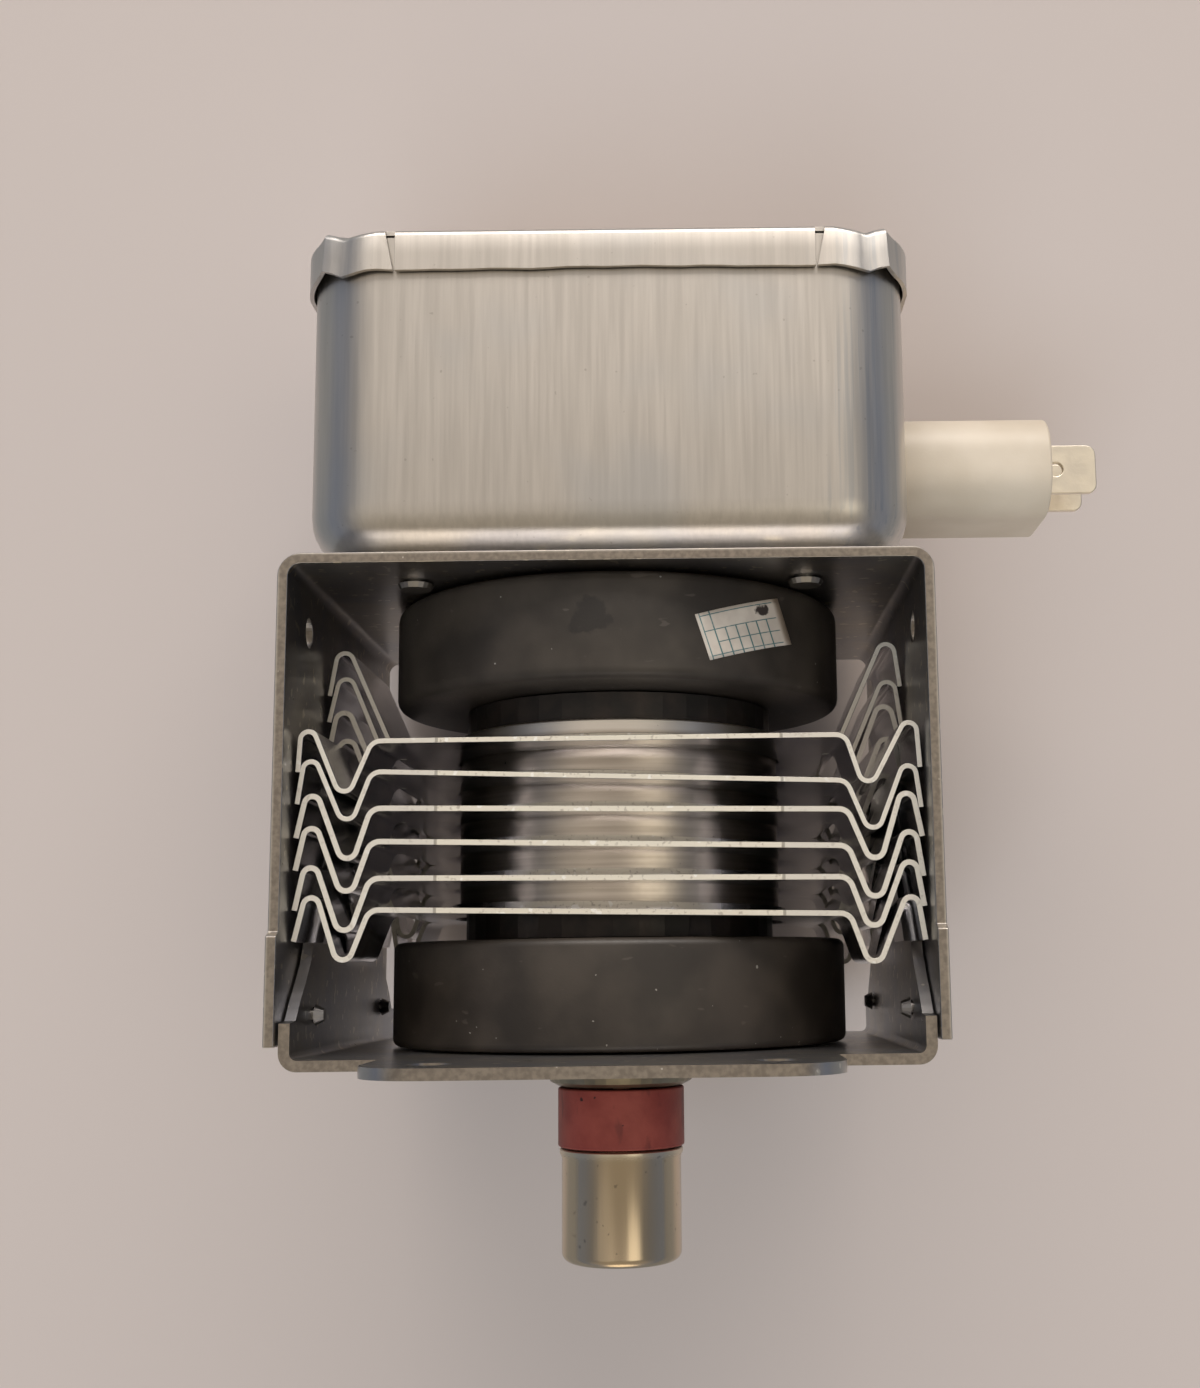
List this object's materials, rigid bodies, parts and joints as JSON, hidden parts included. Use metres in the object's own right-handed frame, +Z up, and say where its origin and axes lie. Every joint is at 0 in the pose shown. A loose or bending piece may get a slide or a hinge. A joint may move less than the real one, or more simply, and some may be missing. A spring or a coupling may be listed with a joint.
{
  "type": "magnetron",
  "caption": "Microwave oven magnetron: steel yoke with ring magnets and bent cooling fins, filter box with connector, and output antenna.",
  "frame": {"origin": "bottom centre of the part's bounding box, as it lies on its back", "axes": "+X towards the connector, +Y towards the filter box lid, +Z up; the tube's axis lies along Y, its antenna end raised by 10.6 degrees"},
  "size_m": [0.0988, 0.124, 0.0936],
  "materials": {
    "zinc_plated_steel": "satin zinc plate with fine grain",
    "drawn_steel": "satin, faint drawing streaks",
    "fin_aluminium": "satin sheet with sheared edges",
    "magnet_ferrite": "matte dark ferrite",
    "copper": "clean copper",
    "anode_plating": "satin plated copper",
    "pole_iron": "dark pressed iron",
    "shell_steel": "dull drawn steel",
    "tungsten": "dull grey refractory metal",
    "red_ceramic": "matte dark red ceramic",
    "stem_ceramic": "matte white ceramic",
    "cap_steel": "semi-bright, slightly heat tinted",
    "case_plastic": "smooth white moulding",
    "blade_tin": "tin plate",
    "enamelled_copper": "clear enamel over copper",
    "core_ferrite": "matte dark ferrite"
  },
  "bodies": {
    "root": {"yoke_upper": "zinc_plated_steel", "mounting_plate": "zinc_plated_steel", "capacitor_flange": "zinc_plated_steel", "side_rivet_left_front": "zinc_plated_steel", "side_rivet_left_back": "zinc_plated_steel", "side_rivet_right_front": "zinc_plated_steel", "side_rivet_right_back": "zinc_plated_steel", "filter_box": "drawn_steel", "filter_lid": "drawn_steel", "box_rivet_1": "drawn_steel", "box_rivet_2": "drawn_steel", "box_rivet_3": "drawn_steel", "box_rivet_4": "drawn_steel", "fin_1": "fin_aluminium", "fin_2": "fin_aluminium", "fin_3": "fin_aluminium", "fin_4": "fin_aluminium", "fin_5": "fin_aluminium", "fin_6": "fin_aluminium", "magnet_output": "magnet_ferrite", "magnet_input": "magnet_ferrite", "vane_01": "copper", "vane_02": "copper", "vane_03": "copper", "vane_04": "copper", "vane_05": "copper", "vane_06": "copper", "vane_07": "copper", "vane_08": "copper", "vane_09": "copper", "vane_10": "copper", "strap_output_inner": "copper", "strap_output_outer": "copper", "strap_input_inner": "copper", "strap_input_outer": "copper", "exhaust_tube": "copper", "antenna_rod": "copper", "anode_cylinder": "anode_plating", "pole_piece_input": "pole_iron", "pole_piece_output": "pole_iron", "input_shell": "shell_steel", "output_shell": "shell_steel", "filament": "tungsten", "end_hat_input": "tungsten", "end_hat_output": "tungsten", "cathode_lead_centre": "tungsten", "cathode_lead_side": "tungsten", "antenna_insulator": "red_ceramic", "stem_insulator": "stem_ceramic", "antenna_cap": "cap_steel", "capacitor_case": "case_plastic", "terminal_blade_front": "blade_tin", "terminal_blade_rear": "blade_tin", "choke_coil_front": "enamelled_copper", "choke_coil_rear": "enamelled_copper", "choke_core_front": "core_ferrite", "choke_core_rear": "core_ferrite"}
  },
  "joints": []
}
